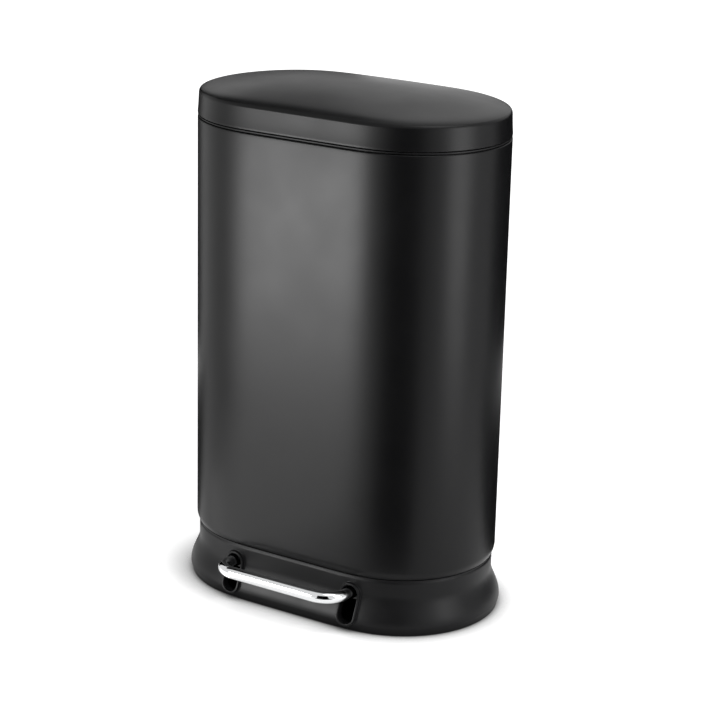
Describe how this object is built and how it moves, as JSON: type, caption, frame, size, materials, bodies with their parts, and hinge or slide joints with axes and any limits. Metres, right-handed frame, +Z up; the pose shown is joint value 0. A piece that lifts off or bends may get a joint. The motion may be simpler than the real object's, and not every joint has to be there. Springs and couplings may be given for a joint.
{
  "type": "pedal trash can",
  "caption": "Slim free-standing pedal bin: stadium-plan steel shell on a flared base, domed hinged lid lifted through a rod by a U-shaped chrome foot bar, and a lift-out inner bucket.",
  "frame": {"origin": "on the floor, in the middle of the box round the closed bin, from the foot bar to the hinge cover", "axes": "+Z up, -Y to the front where the foot bar is, +X to the right seen from behind the front, along the bin's width"},
  "size_m": [0.418, 0.316, 0.6419],
  "materials": {
    "black_powder_coat": "matte black powder coat on steel",
    "black_plastic": "fine matte moulded black plastic",
    "grey_plastic": "matte dark grey moulded plastic",
    "rubber": "matte black rubber",
    "chrome": "polished chrome plate",
    "zinc_steel": "bright zinc-plated steel",
    "nylon": "natural white nylon"
  },
  "bodies": {
    "can": {"base_skirt": "black_plastic", "bottom_plate": "black_plastic", "deck": "black_plastic", "rubber_feet": "rubber", "deck_screws": "zinc_steel", "shell": "black_powder_coat", "rim_ring": "black_plastic", "hinge_backplate": "zinc_steel", "hinge_housing": "black_plastic", "hinge_screws": "zinc_steel", "hinge_nuts": "zinc_steel", "hinge_pin": "zinc_steel", "hinge_bushes": "nylon", "hinge_cover": "black_plastic", "lever_axle": "zinc_steel", "axle_clips": "zinc_steel", "axle_brackets": "zinc_steel", "bracket_screws": "zinc_steel", "lever_stops": "rubber", "rod_guide_lower": "nylon", "rod_guide_upper": "zinc_steel", "return_spring": "zinc_steel", "damper_cylinder": "grey_plastic", "damper_bracket": "zinc_steel", "channel_cover": "grey_plastic", "inner_bucket": "grey_plastic"},
    "lid": {"lid_shell": "black_powder_coat", "lid_liner": "grey_plastic", "lid_bumpers": "rubber", "lid_bracket": "zinc_steel", "lid_rivets": "zinc_steel", "lid_lift_pin": "zinc_steel"},
    "pedal": {"foot_bar": "chrome", "pedal_lever": "black_powder_coat", "lever_lift_pin": "zinc_steel"},
    "lift": {"lift_rod": "zinc_steel", "rod_hook": "black_plastic", "rod_foot": "black_plastic", "spring_collar": "zinc_steel", "damper_plunger": "zinc_steel", "damper_clip": "black_plastic"},
    "handle_left": {"bucket_handle_left": "zinc_steel"},
    "handle_right": {"bucket_handle_right": "zinc_steel"}
  },
  "joints": [
    {"name": "lid_hinge", "type": "hinge", "parent": "can", "child": "lid", "pos_m": [0, 0.14149, 0.566], "axis": [-1, 0, 0], "range_deg": [0, 76]},
    {"name": "pedal_pivot", "type": "hinge", "parent": "can", "child": "pedal", "pos_m": [0, -0.02481, 0.03705], "axis": [1, 0, 0], "range_deg": [0, 12.66]},
    {"name": "rod_lift", "type": "slide", "parent": "can", "child": "lift", "axis": [0, 0, 1], "range_m": [0, 0.02955], "stiffness_N_per_m": 150, "springref_m": -0.03, "deforming": ["return_spring"]},
    {"name": "left_bucket_handle", "type": "hinge", "parent": "can", "child": "handle_left", "pos_m": [-0.15912, -0.00356, 0.562], "axis": [0, -1, 0], "range_deg": [0, 180]},
    {"name": "right_bucket_handle", "type": "hinge", "parent": "can", "child": "handle_right", "pos_m": [0.15912, -0.00356, 0.562], "axis": [0, 1, 0], "range_deg": [0, 180]}
  ],
  "couplings": [
    {"joint": "pedal_pivot", "follows": "lid_hinge", "ratio": 0.16659},
    {"joint": "rod_lift", "follows": "lid_hinge", "m_per_rad": 0.022279}
  ]
}
